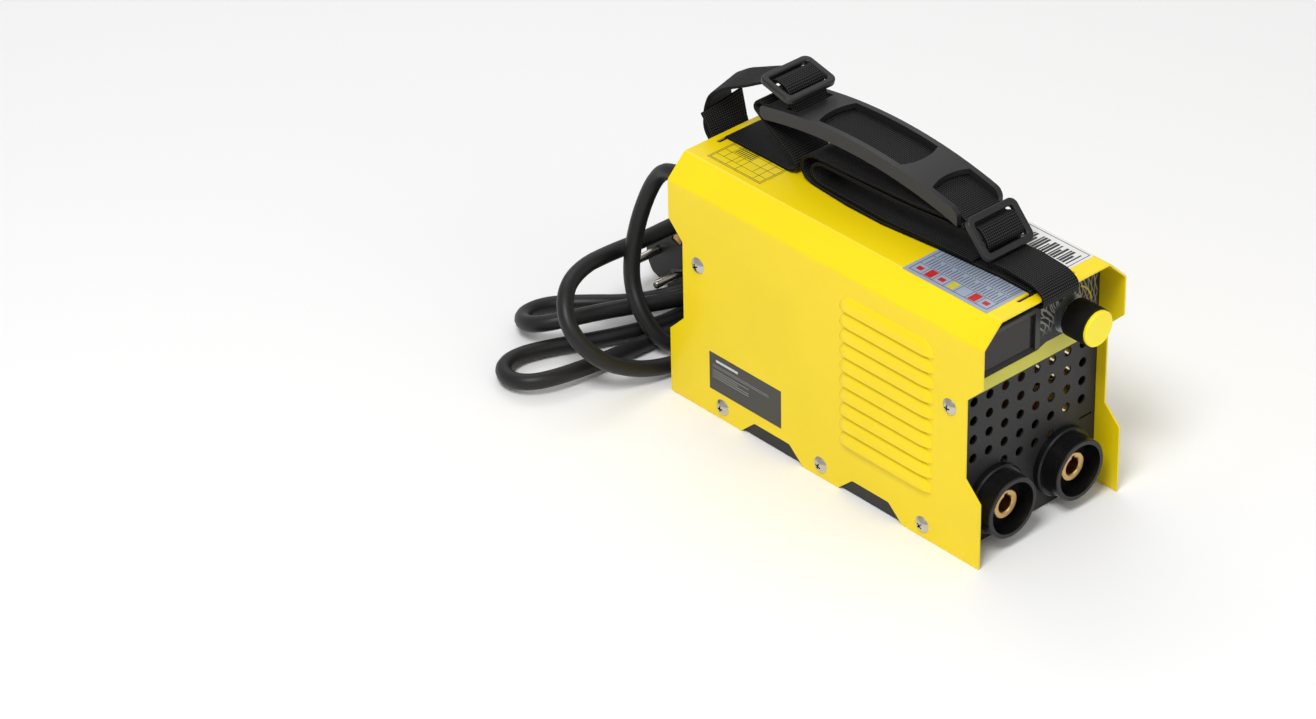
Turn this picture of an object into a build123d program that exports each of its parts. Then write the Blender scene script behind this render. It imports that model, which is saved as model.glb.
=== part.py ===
"""Stick welding inverter with a carry strap and a mains lead.

Millimetres. X is to the machine's right, Y to its back and Z up. The front panel faces -Y.
The origin is the middle of the machine's footprint, on the surface that it stands on.
"""
from build123d import *
import math
import os

# Case: a folded cover over a folded chassis
WIDTH = 100.0
LENGTH = 225.0
HEIGHT = 140.0
SHEET = 1.0
SHOULDER = 12.0
BEND = 3.0
FIT = 0.3
PANEL_Y = 96.0
NECK_Y = 102.0
NECK_LOW = 38.5
NECK_HIGH = 105.5
NOTCH_Y = 36.0
NOTCH_WIDE = 46.0
NOTCH_TALL = 9.0
FLANGE = 14.0
HALF = WIDTH / 2
END = LENGTH / 2
INSIDE = HALF - SHEET - FIT

# Louvres pressed out of both sides
LOUVRES = 10
LOUVRE_PITCH = 8.8
LOUVRE_TALL = 8.4
LOUVRE_PROUD = 2.4
LOUVRE_LOW = 29.8
LOUVRE_FRONT = -80.0
LOUVRE_BACK = -13.0

# Slots in the cover's top that the strap goes through
SLOT_HALF = 20.0
SLOT_WIDE = 2.6
SLOT_FRONT_Y = -105.2
SLOT_BACK_Y = 107.2

# Screws that hold the cover: (y, z) on each side
SCREWS = [(-90.5, 86.0), (90.5, 86.0), (-73.0, 7.5), (0.0, 7.5), (73.0, 7.5)]
SCREW_HOLE = 2.15
SCREW_SHANK = 1.95
SCREW_HEAD = 4.65

# Front panel
HOLE_PITCH = 11.0
HOLE_R = 2.65
HOLE_ROWS = 5
HOLE_TOP = 86.0
STRIPE_LOW = 89.5
STRIPE_HIGH = 97.0
STRIPE_STEP = 99.0
OVERLAY = 0.3
OVERLAY_TOP = 125.5
BEZEL = (-45.0, 5.0, 99.2, 124.0)
LENS = (-41.0, 1.0, 101.0, 119.6)
KNOB_X = 26.2
KNOB_Z = 109.6
KNOB_R = 10.3
KNOB_BACK = -101.0
KNOB_FRONT = -115.8
KNOB_CAP_FRONT = -117.6
SHAFT_R = 3.0
SHAFT_GAP = 0.05

# Weld sockets
SOCKET_X = 24.0
SOCKET_Z = 23.5
SOCKET_R = 16.9
SOCKET_CUP_R = 14.3
SOCKET_BASE_R = 19.0
SOCKET_RIM = -110.4
SOCKET_CUP_FLOOR = -100.4
SOCKET_STEP = -100.0
SOCKET_NECK_R = 13.8
CONTACT_R = 8.0
CONTACT_FACE = -105.2
CONTACT_BACK = -84.0
BORE_R = 4.6
BORE_DEEP = 20.0
STUD_R = 5.0
STUD_END = -72.0

# Fan and rear panel
FAN = 80.0
FAN_DEEP = 25.0
FAN_Z = 51.0
FAN_BORE = 38.0
FAN_HOLE = 35.75
ROTOR_R = 36.2
HUB_R = 16.5
BLADES = 7
FAN_SHAFT_R = 1.5
GUARD_RINGS = [10.0, 18.0, 26.0, 34.0]
GUARD_WIRE = 0.9
GUARD_RISE = 1.1
SWITCH_X = 24.0
SWITCH_Z = 110.0
ROCKER_Y = 93.0
ROCKER_PIN = 1.2
ROCKER_TIP = 20.0
GLAND_X = -17.0
GLAND_Z = 106.0
BOOT_START = 107.0
BOOT_END = 127.0
EARTH_X = 43.0
EARTH_Z = 95.5

# Boards and power parts
BOARD_Z = 12.0
BOARD_THICK = 1.6
BOARD_TOP = BOARD_Z + BOARD_THICK
BOARD_HALF = 42.0
BOARD_FRONT = -80.0
BOARD_BACK = 64.0
SINK_FRONT = -20.0
SINK_BACK = 36.0
SINK_TOP = 96.0
SINK_FINS = 9

# Strap
WEB_WIDE = 25.0
WEB_THICK = 1.6
PAD_HALF = 16.0
PAD_ARC = 290.0
PAD_MIDDLE = 15.0
PAD_TOP = 178.6
PAD_BACK = 80.0
PAD_FRONT = -60.0
PAD_PLATE = 3.0
PAD_RAIL = 7.5
PAD_WINDOW_BOW = 3.0
PAD_SLOT = (56.0, 63.5)
BUCKLE_LONG = 24.0
BUCKLE_WIDE = 34.0
BUCKLE_BAR = 3.8
BUCKLE_THICK = 3.6

# Mains lead
CORD_R = 4.5
PLUG_FACE = 14.0
PLUG_Y = 184.0
PLUG_Z = 20.0
PLUG_ROLL = 20.0
PLUG_R = 18.5


def block(x0, x1, y0, y1, z0, z1):
    """A box between two corners."""
    middle = Pos((x0 + x1) / 2, (y0 + y1) / 2, (z0 + z1) / 2)
    return middle * Box(x1 - x0, y1 - y0, z1 - z0)


def rod_x(y, z, x0, x1, r):
    return Pos((x0 + x1) / 2, y, z) * Rot(0, 90, 0) * Cylinder(r, x1 - x0)


def rod_y(x, z, y0, y1, r):
    return Pos(x, (y0 + y1) / 2, z) * Rot(90, 0, 0) * Cylinder(r, y1 - y0)


def rod_z(x, y, z0, z1, r):
    return Pos(x, y, (z0 + z1) / 2) * Cylinder(r, z1 - z0)


def cone_y(x, z, y0, y1, r0, r1):
    """A cone along Y, of radius r0 at y0 and r1 at y1."""
    return Pos(x, (y0 + y1) / 2, z) * Rot(-90, 0, 0) * Cone(r0, r1, y1 - y0)


def hex_y(x, z, y0, y1, across):
    """A hexagonal prism along Y."""
    outline = Plane.XZ.offset(-y0) * Pos(x, z) * RegularPolygon(across / 2, 6, major_radius=False)
    return extrude(outline, -(y1 - y0))


def prism_x(points, x0, x1):
    """A prism along X over an outline of (y, z) points."""
    outline = make_face(Polyline([(x0, y, z) for y, z in points], close=True))
    return extrude(outline, x1 - x0, dir=(1, 0, 0))


def prism_y(points, y0, y1):
    """A prism along Y over an outline of (x, z) points."""
    outline = make_face(Polyline([(x, y0, z) for x, z in points], close=True))
    return extrude(outline, y1 - y0, dir=(0, 1, 0))


def group(solids):
    """Separate solids in one node."""
    return Compound(children=[s.solid() for s in solids])


def case_section(inset):
    """The case's outline across X and Z, moved in by inset; open corners at the bottom."""
    half = HALF - inset
    top = HEIGHT - inset
    slope = SHOULDER - inset * (2 - math.sqrt(2))
    left = [(-half, 0), (-half, top - slope), (-half + slope, top)]
    return left + [(-x, z) for x, z in reversed(left)]


def case_form(inset, y0, y1):
    """A solid of the case's section, its four upper bends rounded."""
    form = prism_y(case_section(inset), y0, y1)
    bends = form.edges().filter_by(Axis.Y).filter_by_position(Axis.Z, HALF, HEIGHT)
    return fillet(bends, BEND - inset)


def bend_radii(points):
    """The largest radius at each corner that its two runs allow."""
    radii = []
    for before, here, after in zip(points, points[1:], points[2:]):
        first, second = Vector(here) - Vector(before), Vector(after) - Vector(here)
        half_turn = math.radians(first.get_angle(second) / 2)
        radii.append(0.45 * min(first.length, second.length) / math.tan(half_turn))
    return radii


# ---- case ----

def louvre(grow):
    """One louvre on the left side at its lowest place: grow = 0 is its hollow, SHEET its skin."""
    deep = LOUVRE_PROUD + grow
    tall = LOUVRE_TALL - SHEET + grow
    start = -HALF + SHEET
    arc = EllipticalCenterArc((0, 0), deep, tall, start_angle=90, arc_size=90)
    profile = make_face(arc + Line((-deep, 0), (0, 0)) + Line((0, 0), (0, tall)))
    front = LOUVRE_FRONT + LOUVRE_TALL
    back = LOUVRE_BACK - LOUVRE_TALL
    middle = extrude(Plane.XZ.offset(-front) * profile, -(back - front))
    end = revolve(Plane.XZ * profile, Axis.X, 90)
    far_end = mirror(end, Plane.XZ)
    ends = [Pos(0, y, 0) * s for s, y in ((end, front), (end, back), (far_end, front), (far_end, back))]
    bulge = middle
    for piece in ends:
        bulge += piece
    return Pos(start, 0, LOUVRE_LOW) * bulge


def side_cuts():
    """What is cut away from both sides of the cover: the necks at each end and the notches below."""
    depth = END - NECK_Y
    neck = [
        (-END - 1, NECK_LOW - 1),
        (-NECK_Y, NECK_LOW + depth),
        (-NECK_Y, NECK_HIGH - depth),
        (-END - 1, NECK_HIGH + 1),
    ]
    slope = 10.0
    notch = [
        (-NOTCH_WIDE / 2 - 1.1, -1),
        (-NOTCH_WIDE / 2 + slope, NOTCH_TALL),
        (NOTCH_WIDE / 2 - slope, NOTCH_TALL),
        (NOTCH_WIDE / 2 + 1.1, -1),
    ]
    cuts = [prism_x(neck, -HALF - 1, HALF + 1), prism_x([(-y, z) for y, z in neck], -HALF - 1, HALF + 1)]
    for y in (-NOTCH_Y, NOTCH_Y):
        opening = prism_x([(y + dy, z) for dy, z in notch], -HALF - 1, HALF + 1)
        along = opening.edges().filter_by(Axis.X)
        top_edges = along.filter_by_position(Axis.Z, NOTCH_TALL - 1, NOTCH_TALL + 1)
        cuts.append(fillet(top_edges, 2.5))
    return cuts


def case_cover():
    cover = case_form(0, -END, END) - case_form(SHEET, -END - 1, END + 1)
    for cut in side_cuts():
        cover -= cut
    for y in (SLOT_FRONT_Y, SLOT_BACK_Y):
        slot = Pos(0, y, HEIGHT) * extrude(SlotOverall(2 * SLOT_HALF, SLOT_WIDE), 3, both=True)
        cover -= slot
    for y, z in SCREWS:
        cover -= rod_x(y, z, -HALF - 1, HALF + 1, SCREW_HOLE)
    skin = louvre(SHEET)
    hollow = louvre(0)
    for n in range(LOUVRES):
        rise = Pos(0, 0, n * LOUVRE_PITCH)
        for side in (skin, mirror(skin, Plane.YZ)):
            cover += rise * side
    for n in range(LOUVRES):
        rise = Pos(0, 0, n * LOUVRE_PITCH)
        for side in (hollow, mirror(hollow, Plane.YZ)):
            cover -= rise * side
    return cover


def panel_plate(y0, y1):
    """A full panel that fits inside the cover."""
    return case_form(SHEET + FIT, y0, y1)


def front_cutouts():
    cuts = []
    for row in range(HOLE_ROWS):
        columns = 4 if row < HOLE_ROWS - 1 else 2
        for column in range(columns):
            for side in (-1, 1):
                x = side * HOLE_PITCH * (column + 0.5)
                z = HOLE_TOP - row * HOLE_PITCH
                cuts.append(rod_y(x, z, -PANEL_Y - 1, -PANEL_Y + 2, HOLE_R))
    cuts.append(block(37.5, 46.5, -PANEL_Y - 1, -PANEL_Y + 2, 40.9, 42.1))
    cuts.append(block(LENS[0] - 1, LENS[1] + 1, -PANEL_Y - 1, -PANEL_Y + 2, LENS[2] - 1, LENS[3] + 1))
    cuts.append(rod_y(KNOB_X, KNOB_Z, -PANEL_Y - 1, -PANEL_Y + 2, SHAFT_R + 0.8))
    for x in (-SOCKET_X, SOCKET_X):
        cuts.append(rod_y(x, SOCKET_Z, -PANEL_Y - 1, -PANEL_Y + 2, SOCKET_NECK_R + 0.2))
    return cuts


def rear_cutouts():
    y0, y1 = PANEL_Y - 2, PANEL_Y + 1
    cuts = [rod_y(0, FAN_Z, y0, y1, FAN_BORE - 1)]
    for x in (-FAN_HOLE, FAN_HOLE):
        for z in (FAN_Z - FAN_HOLE, FAN_Z + FAN_HOLE):
            cuts.append(rod_y(x, z, y0, y1, SCREW_HOLE))
    cuts.append(rod_y(GLAND_X, GLAND_Z, y0, y1, 7.7))
    cuts.append(block(SWITCH_X - 13.7, SWITCH_X + 13.7, y0, y1, SWITCH_Z - 10.7, SWITCH_Z + 10.7))
    cuts.append(rod_y(EARTH_X, EARTH_Z, y0, y1, 2.6))
    return cuts


def chassis():
    """Floor, front panel and rear panel folded from one sheet, with flanges for the cover's screws."""
    body = block(-INSIDE, INSIDE, -PANEL_Y, PANEL_Y, 0, SHEET)
    body += panel_plate(-PANEL_Y, -PANEL_Y + SHEET)
    body += panel_plate(PANEL_Y - SHEET, PANEL_Y)
    for side in (-1, 1):
        x0, x1 = sorted((side * INSIDE, side * (INSIDE - SHEET)))
        body += block(x0, x1, -PANEL_Y, PANEL_Y, 0, FLANGE)
        body += block(x0, x1, -PANEL_Y, -PANEL_Y + FLANGE, 0, 124)
        body += block(x0, x1, PANEL_Y - FLANGE, PANEL_Y, 0, 124)
    folds = body.edges().filter_by_position(Axis.Z, -0.1, 0.1).group_by(Axis.Z)[0]
    body = fillet(folds, 0.8)
    for y, z in SCREWS:
        body -= rod_x(y, z, -HALF, HALF, SCREW_HOLE)
    for cut in front_cutouts() + rear_cutouts():
        body -= cut
    return body


def truss_screw():
    """A cross-recessed truss-head screw on +X, its head's seat at x = 0."""
    rise = 2.2
    ball = (SCREW_HEAD**2 + rise**2) / (2 * rise)
    half_angle = math.asin(SCREW_HEAD / ball) / 2
    crown = (rise - ball + ball * math.cos(half_angle), ball * math.sin(half_angle))
    outline = ThreePointArc((0, SCREW_HEAD), crown, (rise, 0)) + Polyline((rise, 0), (0, 0), (0, SCREW_HEAD))
    screw = revolve(make_face(outline), Axis.X)
    screw += rod_x(0, 0, -8, 0, SCREW_SHANK)
    for dy, dz in ((0.45, 1.8), (1.8, 0.45)):
        screw -= block(1.2, 3, -dy, dy, -dz, dz)
    return screw


def cover_screws():
    screw = truss_screw()
    solids = []
    for n, (y, z) in enumerate(SCREWS):
        turn = Rot(23 * n, 0, 0)
        solids.append(Pos(HALF, y, z) * turn * screw)
        solids.append(Pos(-HALF, y, z) * Rot(0, 0, 180) * turn * screw)
    return group(solids)


def case_labels():
    """Thin labels: one on the left side, two at the top's front and one at its back."""
    t = 0.15
    side = block(-HALF - t, -HALF, 29, 82.5, 15.7, 38.2)
    front_left = block(-38, -6, -102.5, -45, HEIGHT, HEIGHT + t)
    front_right = block(16, 38, -102, -48.7, HEIGHT, HEIGHT + t)
    back = block(-34, 4, 61, 101, HEIGHT, HEIGHT + t)
    return {
        "side_label": side,
        "front_left_label": front_left,
        "front_right_label": front_right,
        "back_label": back,
    }


# ---- front panel ----

def overlay_stripe():
    """The stripe under the display: its upper edge steps up towards the right."""
    points = [
        (-47, STRIPE_LOW),
        (-47, STRIPE_HIGH),
        (5, STRIPE_HIGH),
        (11, STRIPE_STEP),
        (47, STRIPE_STEP),
        (47, STRIPE_LOW),
    ]
    return prism_y(points, -PANEL_Y - OVERLAY, -PANEL_Y)


def overlay_field():
    """The dark field to the right of the display, round the knob."""
    points = [
        (BEZEL[1] + 0.2, STRIPE_HIGH + 0.4),
        (11, STRIPE_STEP + 0.2),
        (47, STRIPE_STEP + 0.2),
        (47, OVERLAY_TOP),
        (BEZEL[1] + 0.2, OVERLAY_TOP),
    ]
    field = prism_y(points, -PANEL_Y - OVERLAY, -PANEL_Y)
    return field - rod_y(KNOB_X, KNOB_Z, -PANEL_Y - 1, -PANEL_Y + 1, SHAFT_R + 0.8)


def display_bezel():
    x0, x1, z0, z1 = BEZEL
    front = -PANEL_Y - 2.4
    frame = block(x0, x1, front, -PANEL_Y, z0, z1)
    frame = fillet(frame.edges().filter_by(Axis.Y), 1.5)
    frame = chamfer(frame.faces().sort_by(Axis.Y)[0].edges(), 0.6)
    frame += block(LENS[0] - 0.8, LENS[1] + 0.8, -PANEL_Y, -PANEL_Y + 3, LENS[2] - 0.8, LENS[3] + 0.8)
    frame -= block(LENS[0], LENS[1], -PANEL_Y - 9, -PANEL_Y + 9, LENS[2], LENS[3])
    tall = LENS[3] - LENS[2]
    mouth = [(front - 0.1, -1.6), (front + 1.6, 0), (front + 1.6, tall), (front - 0.1, tall + 1.6)]
    frame -= prism_x([(y, z + LENS[2]) for y, z in mouth], LENS[0], LENS[1])
    return frame


def display_window():
    return block(LENS[0] + 0.1, LENS[1] - 0.1, -PANEL_Y - 0.6, -PANEL_Y + 0.8, LENS[2] + 0.1, LENS[3] - 0.1)


def display_module():
    """The digit block behind the window."""
    return block(-38, -2, -PANEL_Y + 1.2, -PANEL_Y + 7, 103, 118)


def knob_body():
    """A smooth round knob with chamfered ends and a bore for the shaft."""
    body = rod_y(KNOB_X, KNOB_Z, KNOB_FRONT, KNOB_BACK, KNOB_R)
    body = chamfer(body.edges().filter_by(GeomType.CIRCLE), 0.5)
    return body - rod_y(KNOB_X, KNOB_Z, KNOB_FRONT + 4, KNOB_BACK + 1, SHAFT_R)


def knob_cap():
    cap = rod_y(KNOB_X, KNOB_Z, KNOB_CAP_FRONT, KNOB_FRONT, KNOB_R - 0.6)
    return chamfer(cap.faces().sort_by(Axis.Y)[0].edges(), 0.5)


def potentiometer_shaft():
    return rod_y(KNOB_X, KNOB_Z, KNOB_FRONT + 4.2, -PANEL_Y + 4, SHAFT_R)


def potentiometer_body():
    """The can behind the panel and its threaded bush, which the shaft turns in."""
    body = block(KNOB_X - 8, KNOB_X + 8, -PANEL_Y + SHEET, -PANEL_Y + 9, KNOB_Z - 10, KNOB_Z + 8)
    body += rod_y(KNOB_X, KNOB_Z, -PANEL_Y - 3.6, -PANEL_Y + 2, SHAFT_R + 0.7)
    return body - rod_y(KNOB_X, KNOB_Z, -PANEL_Y - 4, -PANEL_Y + 4.5, SHAFT_R + SHAFT_GAP)


def dial_plate():
    ring = rod_y(KNOB_X, KNOB_Z, -PANEL_Y - OVERLAY - 0.6, -PANEL_Y - OVERLAY, KNOB_R + 0.1)
    return ring - rod_y(KNOB_X, KNOB_Z, -PANEL_Y - 2, -PANEL_Y, SHAFT_R + 0.75)


def potentiometer_nut():
    y0 = -PANEL_Y - OVERLAY - 2.6
    nut = hex_y(KNOB_X, KNOB_Z, y0, y0 + 2, 10)
    return nut - rod_y(KNOB_X, KNOB_Z, y0 - 1, y0 + 3, SHAFT_R + 0.75)


def socket_collar(x):
    """The plastic cup of a weld socket with its base flange and the neck through the panel."""
    collar = rod_y(x, SOCKET_Z, SOCKET_RIM, SOCKET_STEP, SOCKET_R)
    collar = chamfer(collar.faces().sort_by(Axis.Y)[0].edges(), 0.5)
    base = rod_y(x, SOCKET_Z, SOCKET_STEP, -PANEL_Y, SOCKET_BASE_R)
    collar += chamfer(base.faces().sort_by(Axis.Y)[0].edges(), 0.8)
    collar += rod_y(x, SOCKET_Z, -PANEL_Y, -PANEL_Y + 9, SOCKET_NECK_R)
    collar -= rod_y(x, SOCKET_Z, SOCKET_RIM - 1, SOCKET_CUP_FLOOR, SOCKET_CUP_R)
    return collar - rod_y(x, SOCKET_Z, SOCKET_RIM, 0, CONTACT_R)


def socket_contact(x):
    """The brass insert: a keyed bore at the front and a stud at the back."""
    contact = rod_y(x, SOCKET_Z, CONTACT_FACE, CONTACT_BACK, CONTACT_R)
    contact = chamfer(contact.faces().sort_by(Axis.Y)[0].edges(), 0.4)
    contact += rod_y(x, SOCKET_Z, CONTACT_BACK, STUD_END, STUD_R)
    contact -= rod_y(x, SOCKET_Z, CONTACT_FACE - 1, CONTACT_FACE + BORE_DEEP, BORE_R)
    contact -= cone_y(x, SOCKET_Z, CONTACT_FACE - 0.1, CONTACT_FACE + 0.6, BORE_R + 0.7, BORE_R)
    key = block(x - 1.2, x + 1.2, CONTACT_FACE - 1, CONTACT_FACE + 7, SOCKET_Z + BORE_R - 1, SOCKET_Z + 6.4)
    return contact - key


def socket_nuts():
    """A ring nut on each socket's neck behind the panel, and a nut on each stud behind its busbar."""
    nuts = []
    for x in (-SOCKET_X, SOCKET_X):
        ring = hex_y(x, SOCKET_Z, -PANEL_Y + SHEET, -PANEL_Y + 6, 34)
        nuts.append(ring - rod_y(x, SOCKET_Z, -PANEL_Y, 0, SOCKET_NECK_R + 0.05))
        nut = hex_y(x, SOCKET_Z, CONTACT_BACK + 2, CONTACT_BACK + 8, 15)
        nuts.append(nut - rod_y(x, SOCKET_Z, CONTACT_BACK, CONTACT_BACK + 9, STUD_R + 0.1))
    return group(nuts)


def busbars():
    """Copper bars from the socket studs up to the choke and to the transformer's output."""
    bars = []
    for x in (-SOCKET_X, SOCKET_X):
        bar = block(x - 7, x + 7, CONTACT_BACK, CONTACT_BACK + 2, SOCKET_Z - 7, SOCKET_Z + 24)
        bar += block(x - 7, x + 7, CONTACT_BACK, CONTACT_BACK + 9, SOCKET_Z + 24, SOCKET_Z + 26)
        bars.append(bar - rod_y(x, SOCKET_Z, CONTACT_BACK - 1, CONTACT_BACK + 3, STUD_R + 0.1))
    return group(bars)


# ---- rear panel ----

def fan_frame():
    """A square frame with a round bore, four struts and the tube that the rotor's shaft turns in."""
    back = PANEL_Y - SHEET
    front = back - FAN_DEEP
    frame = block(-FAN / 2, FAN / 2, front, back, FAN_Z - FAN / 2, FAN_Z + FAN / 2)
    frame = fillet(frame.edges().filter_by(Axis.Y), 4)
    frame -= rod_y(0, FAN_Z, front - 1, back + 1, FAN_BORE)
    for x in (-FAN_HOLE, FAN_HOLE):
        for z in (FAN_Z - FAN_HOLE, FAN_Z + FAN_HOLE):
            frame -= rod_y(x, z, front - 1, back + 1, SCREW_HOLE)
    frame += rod_y(0, FAN_Z, back - 3, back, HUB_R)
    for n in range(4):
        strut = block(HUB_R - 2, FAN_BORE + 1, back - 3, back, -2, 2)
        frame += Pos(0, 0, FAN_Z) * Rot(0, 45 + 90 * n, 0) * strut
    frame += rod_y(0, FAN_Z, back - 16, back - 3, 9)
    return frame - rod_y(0, FAN_Z, front, back - 2, FAN_SHAFT_R + 0.05)


def fan_rotor():
    """A cup-shaped hub with pitched blades and a shaft."""
    back = PANEL_Y - SHEET
    front = back - FAN_DEEP + 3
    rotor = rod_y(0, FAN_Z, front, back - 4, HUB_R)
    rotor = fillet(rotor.faces().sort_by(Axis.Y)[0].edges(), 1.5)
    rotor -= rod_y(0, FAN_Z, front + 2, back, HUB_R - 3)
    rotor += rod_y(0, FAN_Z, front + 1, back - 4, FAN_SHAFT_R)
    middle = (front + back - 4) / 2
    for n in range(BLADES):
        blade = block(HUB_R - 1.5, ROTOR_R, -0.8, 0.8, -9, 9)
        blade = Pos(0, middle, 0) * Rot(52, 0, 0) * blade
        rotor += Pos(0, 0, FAN_Z) * Rot(0, 360 / BLADES * n, 0) * blade
    return rotor


def fan_guard():
    """A wire guard: rings on four wires that meet in the middle, and an eye round each screw."""
    eye = 4.0
    reach = FAN_HOLE * math.sqrt(2) - eye
    solids = [Sphere(1.7 * GUARD_WIRE)]
    for n in range(4):
        wire = rod_x(0, 0, 0, reach, GUARD_WIRE)
        solids.append(Rot(0, 0, 45 + 90 * n) * wire)
        solids.append(Rot(0, 0, 45 + 90 * n) * Pos(reach + eye, 0, 0) * Torus(eye, GUARD_WIRE))
    for r in GUARD_RINGS:
        solids.append(Pos(0, 0, GUARD_RISE) * Torus(r, GUARD_WIRE))
    guard = Part() + solids
    return Pos(0, PANEL_Y + 2 * GUARD_WIRE, FAN_Z) * Rot(-90, 0, 0) * guard


def pan_screw_y(x, z, seat, length, shank, head):
    """A pan-head screw along Y whose head sits on the plane y = seat, pointing to -Y."""
    top = rod_y(x, z, seat, seat + 0.55 * head, head)
    screw = fillet(top.faces().sort_by(Axis.Y)[-1].edges(), 0.3 * head)
    screw += rod_y(x, z, seat - length, seat, shank)
    for dx, dz in ((1.6, 0.4), (0.4, 1.6)):
        screw -= block(x - dx, x + dx, seat + 0.7, seat + head, z - dz, z + dz)
    return screw


def fan_screws():
    seat = PANEL_Y + 3 * GUARD_WIRE
    return group([
        pan_screw_y(x, z, seat, 20, SCREW_SHANK, 4.2)
        for x in (-FAN_HOLE, FAN_HOLE)
        for z in (FAN_Z - FAN_HOLE, FAN_Z + FAN_HOLE)
    ])


def switch_housing():
    """A rocker switch's snap-in housing, open at the back for the rocker."""
    half_x, half_z = 15.5, 12.5
    x0, x1 = SWITCH_X - half_x, SWITCH_X + half_x
    rim = block(x0, x1, PANEL_Y, PANEL_Y + 2.2, SWITCH_Z - half_z, SWITCH_Z + half_z)
    rim = fillet(rim.edges().filter_by(Axis.Y), 1.2)
    body = block(SWITCH_X - 13.5, SWITCH_X + 13.5, PANEL_Y - 18, PANEL_Y, SWITCH_Z - 10.5, SWITCH_Z + 10.5)
    well = block(SWITCH_X - 12, SWITCH_X + 12, PANEL_Y - 10, PANEL_Y + 9, SWITCH_Z - 9, SWITCH_Z + 9)
    housing = rim + body - well
    for dx in (-8, 8):
        x = SWITCH_X + dx
        tab = block(x - 3, x + 3, PANEL_Y - 26, PANEL_Y - 18, SWITCH_Z - 0.4, SWITCH_Z + 0.4)
        housing += tab
    for x0, x1 in ((SWITCH_X - 12, SWITCH_X - 10.6), (SWITCH_X + 10.6, SWITCH_X + 12)):
        housing += rod_x(ROCKER_Y, SWITCH_Z, x0, x1, ROCKER_PIN)
    return housing


def switch_rocker():
    """The rocker, which tips about an axis along X; at rest its upper half stands proud."""
    reach = 8.7
    v_shape = [(-5, -3), (-5, 3), (-3, 9), (4.6, 9), (4.6, 7.4), (3, 0), (4.6, -7.4), (4.6, -9), (-3, -9)]
    rocker = rod_x(0, 0, -11.7, 11.7, reach) & prism_x(v_shape, -11.7, 11.7)
    for x0, x1 in ((-12, -10.4), (10.4, 12)):
        rocker -= rod_x(0, 0, x0, x1, ROCKER_PIN + SHAFT_GAP)
    return Pos(SWITCH_X, ROCKER_Y, SWITCH_Z) * Rot(-ROCKER_TIP / 2, 0, 0) * rocker


def earth_stud():
    stud = rod_y(EARTH_X, EARTH_Z, PANEL_Y - 8, PANEL_Y + 12, 2.5)
    return chamfer(stud.faces().sort_by(Axis.Y)[-1].edges(), 0.5)


def earth_nuts():
    nuts = []
    for y0 in (PANEL_Y - SHEET - 4, PANEL_Y, PANEL_Y + 5):
        nut = hex_y(EARTH_X, EARTH_Z, y0, y0 + 4, 8)
        nuts.append(nut - rod_y(EARTH_X, EARTH_Z, y0 - 1, y0 + 5, 2.55))
    return group(nuts)


def cable_gland():
    """A gland: a thread through the panel, a hexagonal flange and a dome nut."""
    gland = rod_y(GLAND_X, GLAND_Z, PANEL_Y - 9, PANEL_Y, 7.5)
    gland += hex_y(GLAND_X, GLAND_Z, PANEL_Y, PANEL_Y + 4, 19)
    gland += cone_y(GLAND_X, GLAND_Z, PANEL_Y + 4, BOOT_START, 9, 7)
    return gland


def gland_nut():
    nut = hex_y(GLAND_X, GLAND_Z, PANEL_Y - SHEET - 4, PANEL_Y - SHEET, 19)
    return nut - rod_y(GLAND_X, GLAND_Z, PANEL_Y - 9, PANEL_Y, 7.55)


def strain_relief():
    """A tapered sleeve on the lead, ringed by grooves."""
    boot = cone_y(GLAND_X, GLAND_Z, BOOT_START, BOOT_END, 6.8, 5.4)
    for n in range(4):
        y = BOOT_START + 3 + 4 * n
        boot -= rod_y(GLAND_X, GLAND_Z, y, y + 1.2, 9) - rod_y(GLAND_X, GLAND_Z, y, y + 1.2, 5.1)
    return boot


# ---- inside ----

def main_board():
    board = block(-BOARD_HALF, BOARD_HALF, BOARD_FRONT, BOARD_BACK, BOARD_Z, BOARD_TOP)
    for x, y in board_holes():
        board -= rod_z(x, y, 0, 20, 1.6)
    return board


def board_holes():
    return [(x, y) for x in (-37.5, 37.5) for y in (BOARD_FRONT + 4.5, BOARD_BACK - 4.5)]


def board_standoffs():
    return group([
        rod_z(x, y, SHEET, BOARD_Z, 3) - rod_z(x, y, SHEET + 4, BOARD_Z + 1, 1.5)
        for x, y in board_holes()
    ])


def board_screws():
    return group([
        rod_z(x, y, BOARD_TOP, BOARD_TOP + 2, 2.8) + rod_z(x, y, BOARD_TOP - 6, BOARD_TOP, 1.4)
        for x, y in board_holes()
    ])


def heatsink(side):
    """A finned extrusion along Y: a plate that the transistors sit on, and fins towards the case."""
    plate = block(13, 17, SINK_FRONT, SINK_BACK, BOARD_TOP, SINK_TOP)
    pitch = (SINK_TOP - BOARD_TOP - 6) / (SINK_FINS - 1)
    for n in range(SINK_FINS):
        z = BOARD_TOP + 3 + n * pitch
        plate += block(16, 41, SINK_FRONT, SINK_BACK, z - 0.8, z + 0.8)
    return plate if side > 0 else mirror(plate, Plane.YZ)


def power_packages(side):
    """Four flat power packages on a heatsink's plate, with their leads in the board."""
    packages = []
    for n in range(4):
        y = SINK_FRONT + 7.5 + 13.7 * n
        package = block(8, 13, y - 6.4, y + 6.4, BOARD_TOP + 12, BOARD_TOP + 32)
        for dy in (-4, 0, 4):
            package += block(10, 10.8, y + dy - 0.6, y + dy + 0.6, BOARD_TOP, BOARD_TOP + 12)
        packages.append(package if side > 0 else mirror(package, Plane.YZ))
    return group(packages)


def bus_capacitors():
    caps = []
    for x in (-27, 0, 27):
        can = rod_z(x, 50, BOARD_TOP, BOARD_TOP + 46, 11)
        caps.append(fillet(can.edges().filter_by(GeomType.CIRCLE), 1.2))
    return group(caps)


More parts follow.
